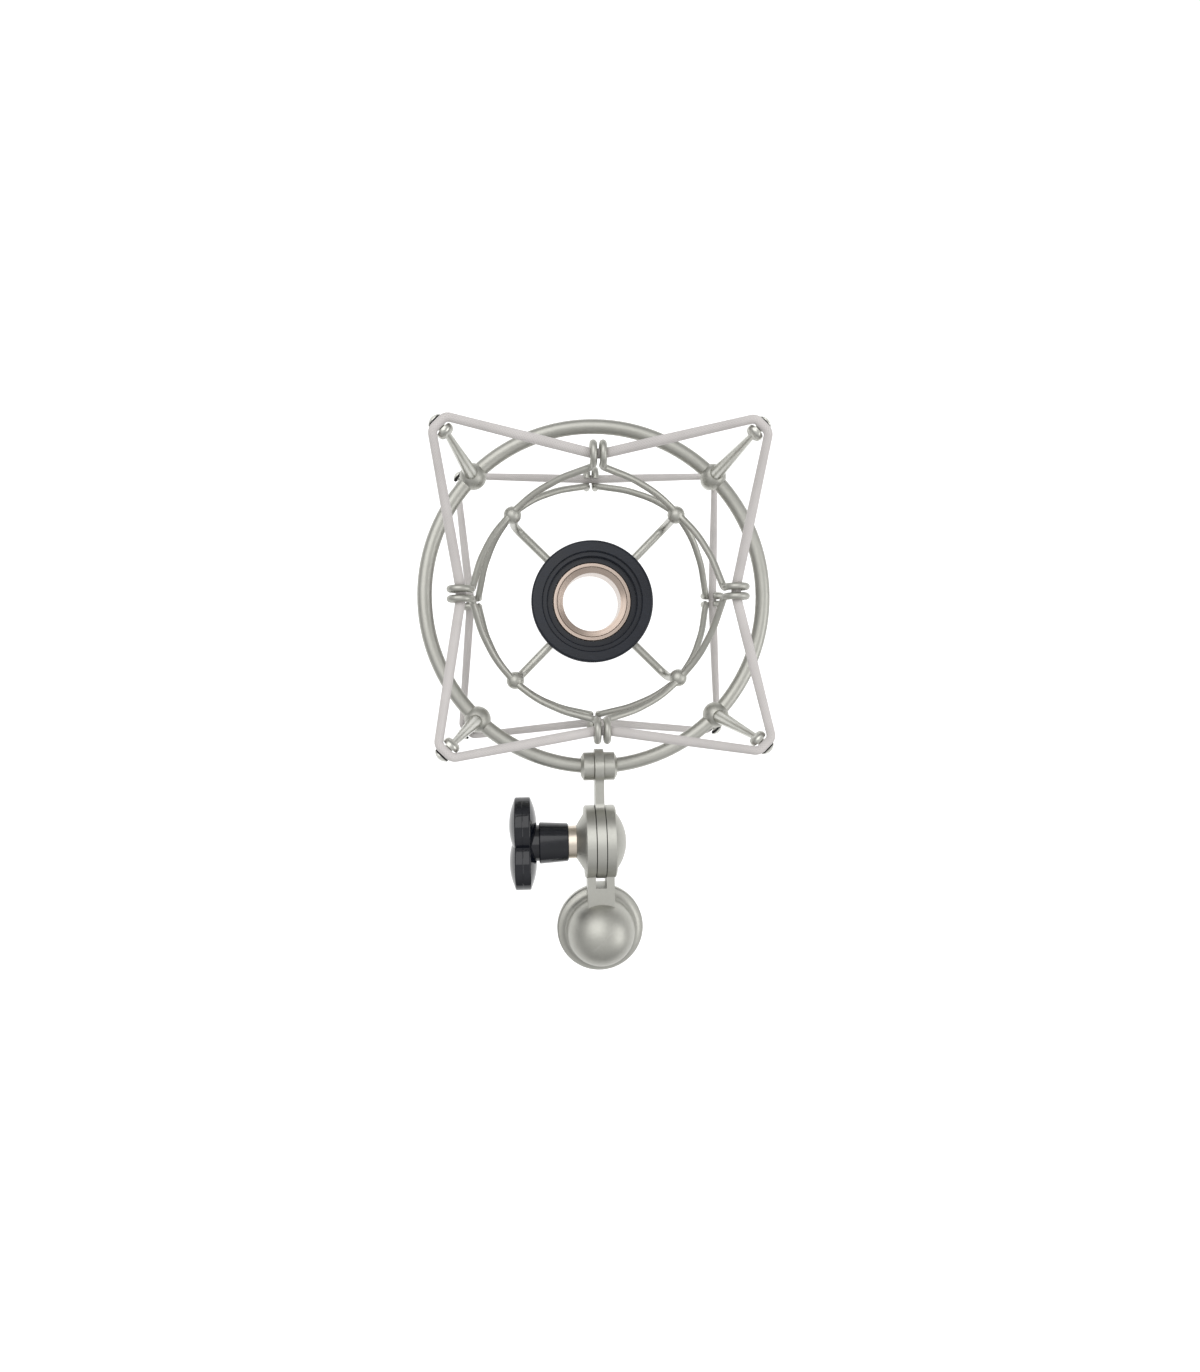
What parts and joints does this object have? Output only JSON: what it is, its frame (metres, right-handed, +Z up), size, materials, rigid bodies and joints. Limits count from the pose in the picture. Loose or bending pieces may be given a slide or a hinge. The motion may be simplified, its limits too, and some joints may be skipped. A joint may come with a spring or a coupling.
{
  "type": "microphone shock mount",
  "caption": "Elastic-suspension shock mount: an outer ring with splayed posts carries a wire basket and threaded microphone seat on woven elastic bands, with a clamped swivel for a stand.",
  "frame": {"origin": "mouth of the stand thread, on its axis", "axes": "+Z up along the stand thread and the microphone axis, +Y from the stand towards the ring, X along the swivel's pivot"},
  "size_m": [0.138, 0.2178, 0.0913],
  "materials": {
    "satin_nickel": "satin nickel plate",
    "polished_nickel": "glossy nickel plate",
    "warm_nickel": "turned, thin warm nickel plate",
    "brass_bush": "turned brass",
    "screw_steel": "turned steel",
    "black_fibre": "matt fibre",
    "white_nylon": "matt nylon",
    "black_rubber": "satin moulded rubber",
    "black_plastic": "glossy moulded plastic",
    "cloth_elastic": "woven cover over rubber strands"
  },
  "bodies": {
    "stand": {"stand_yoke": "satin_nickel", "thread_adapter": "brass_bush", "friction_washer_left": "black_fibre", "friction_washer_right": "black_fibre"},
    "frame": {"swivel_arm": "satin_nickel", "ring_collar_left": "satin_nickel", "ring_collar_right": "satin_nickel", "outer_ring": "satin_nickel", "corner_ball_right_far": "satin_nickel", "corner_ball_left_far": "satin_nickel", "corner_ball_left_near": "satin_nickel", "corner_ball_right_near": "satin_nickel", "upper_post_right_far": "polished_nickel", "lower_post_right_far": "polished_nickel", "upper_post_left_far": "polished_nickel", "lower_post_left_far": "polished_nickel", "upper_post_left_near": "polished_nickel", "lower_post_left_near": "polished_nickel", "upper_post_right_near": "polished_nickel", "lower_post_right_near": "polished_nickel", "tip_washers": "black_fibre", "tip_screws": "polished_nickel", "upper_elastic": "cloth_elastic", "lower_elastic": "cloth_elastic"},
    "basket": {"upper_wire_right_far": "satin_nickel", "lower_wire_right_far": "satin_nickel", "upper_wire_left_far": "satin_nickel", "lower_wire_left_far": "satin_nickel", "upper_wire_left_near": "satin_nickel", "lower_wire_left_near": "satin_nickel", "upper_wire_right_near": "satin_nickel", "lower_wire_right_near": "satin_nickel", "basket_ball_right_far": "satin_nickel", "basket_ball_left_far": "satin_nickel", "basket_ball_left_near": "satin_nickel", "basket_ball_right_near": "satin_nickel", "spoke_right_far": "satin_nickel", "spoke_left_far": "satin_nickel", "spoke_left_near": "satin_nickel", "spoke_right_near": "satin_nickel", "hub": "satin_nickel", "seat_cup": "black_rubber", "nut_washer": "white_nylon"},
    "microphone_nut": {"threaded_sleeve": "warm_nickel", "hand_wheel": "satin_nickel"},
    "clamp_knob": {"knob": "black_plastic", "knob_insert": "warm_nickel", "clamp_screw": "screw_steel"}
  },
  "joints": [
    {"name": "tilt", "type": "hinge", "parent": "stand", "child": "frame", "pos_m": [0, 0.0358, 0.0075], "axis": [1, 0, 0], "range_deg": [-90, 90]},
    {"name": "bounce", "type": "slide", "parent": "frame", "child": "basket", "axis": [0, 0, 1], "range_m": [-0.005, 0.005], "stiffness_N_per_m": 900, "springref_m": 0.002, "deforming": ["upper_elastic", "lower_elastic"]},
    {"name": "nut_turn", "type": "hinge", "parent": "basket", "child": "microphone_nut", "pos_m": [0, 0.1316, -0.0205], "axis": [0, 0, 1], "continuous": true},
    {"name": "knob_turn", "type": "hinge", "parent": "stand", "child": "clamp_knob", "pos_m": [0, 0.0358, 0.0075], "axis": [1, 0, 0], "continuous": true}
  ]
}
